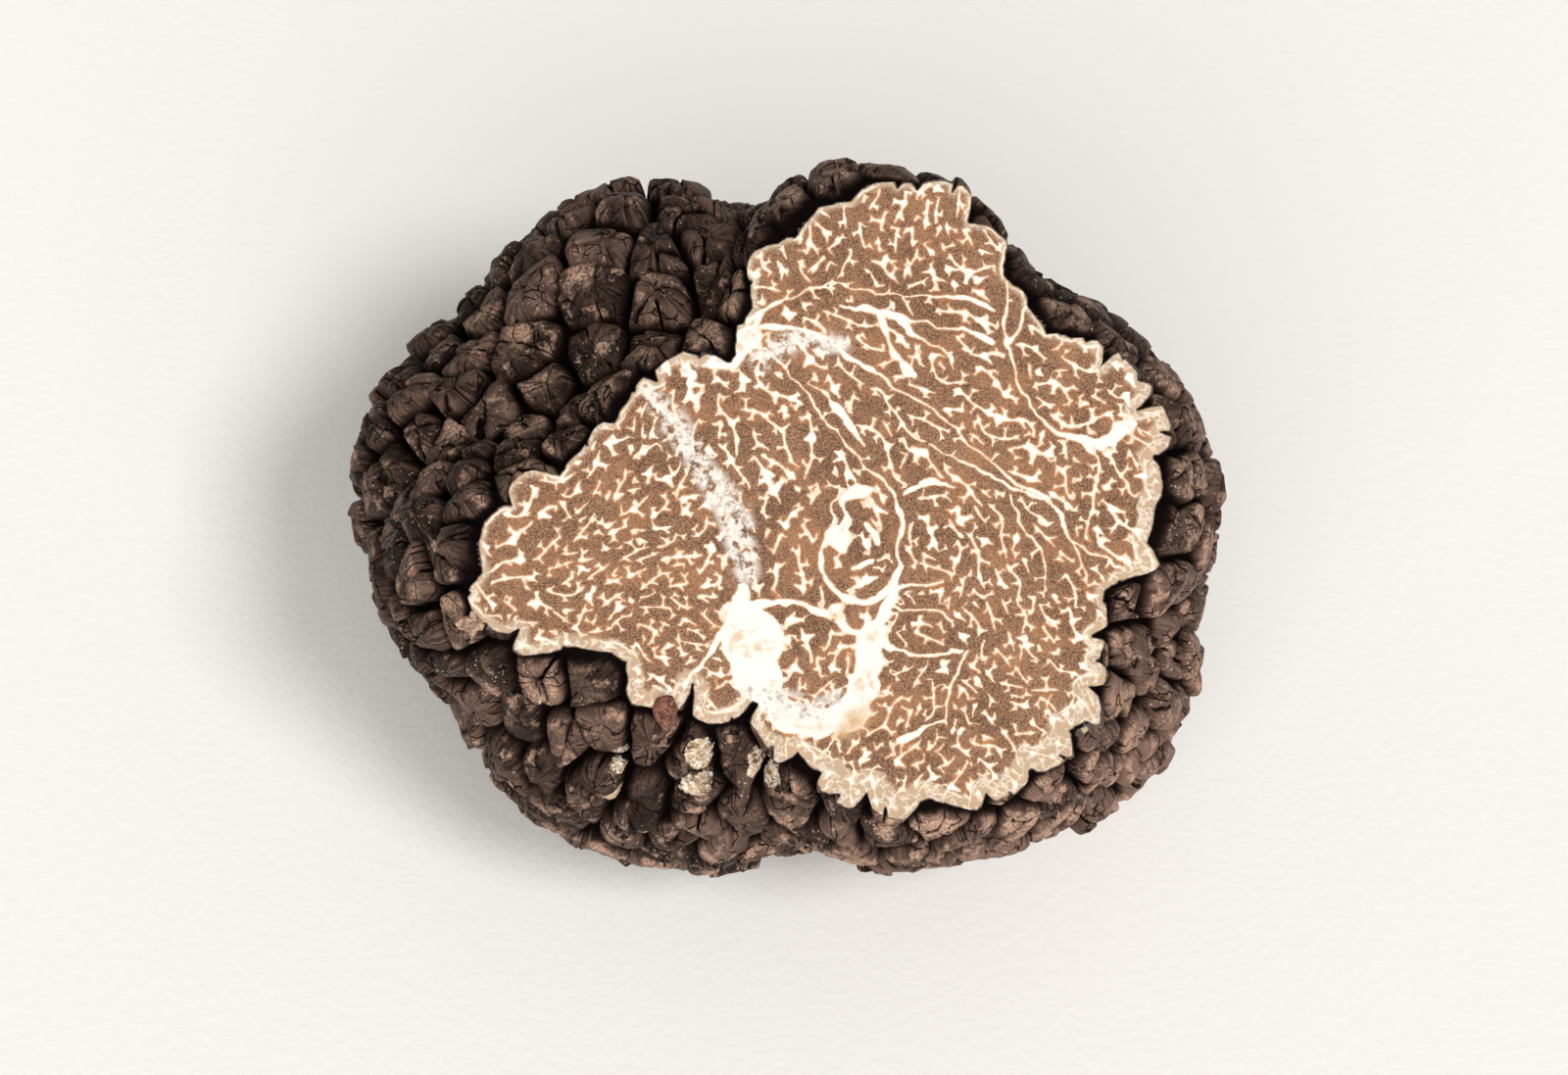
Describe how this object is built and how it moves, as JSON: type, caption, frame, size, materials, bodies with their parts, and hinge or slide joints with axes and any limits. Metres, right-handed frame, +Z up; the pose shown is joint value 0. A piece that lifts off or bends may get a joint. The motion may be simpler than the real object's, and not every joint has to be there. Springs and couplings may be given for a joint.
{
  "type": "black summer truffle with a slice cut off",
  "caption": "Whole dark, warty truffle resting on its side, with one flat knife cut across the top that shows brown flesh and branching white veins.",
  "frame": {"origin": "on the floor, under the middle of the bounding box", "axes": "+Z up as it rests, +X along the longest side, the cut face looks up and towards -Y"},
  "size_m": [0.0808, 0.0688, 0.0579],
  "materials": {
    "truffle": "rough dark warty rind; the cut face is matte brown flesh with cream-white veins"
  },
  "bodies": {
    "root": {"truffle": "truffle"}
  },
  "joints": []
}
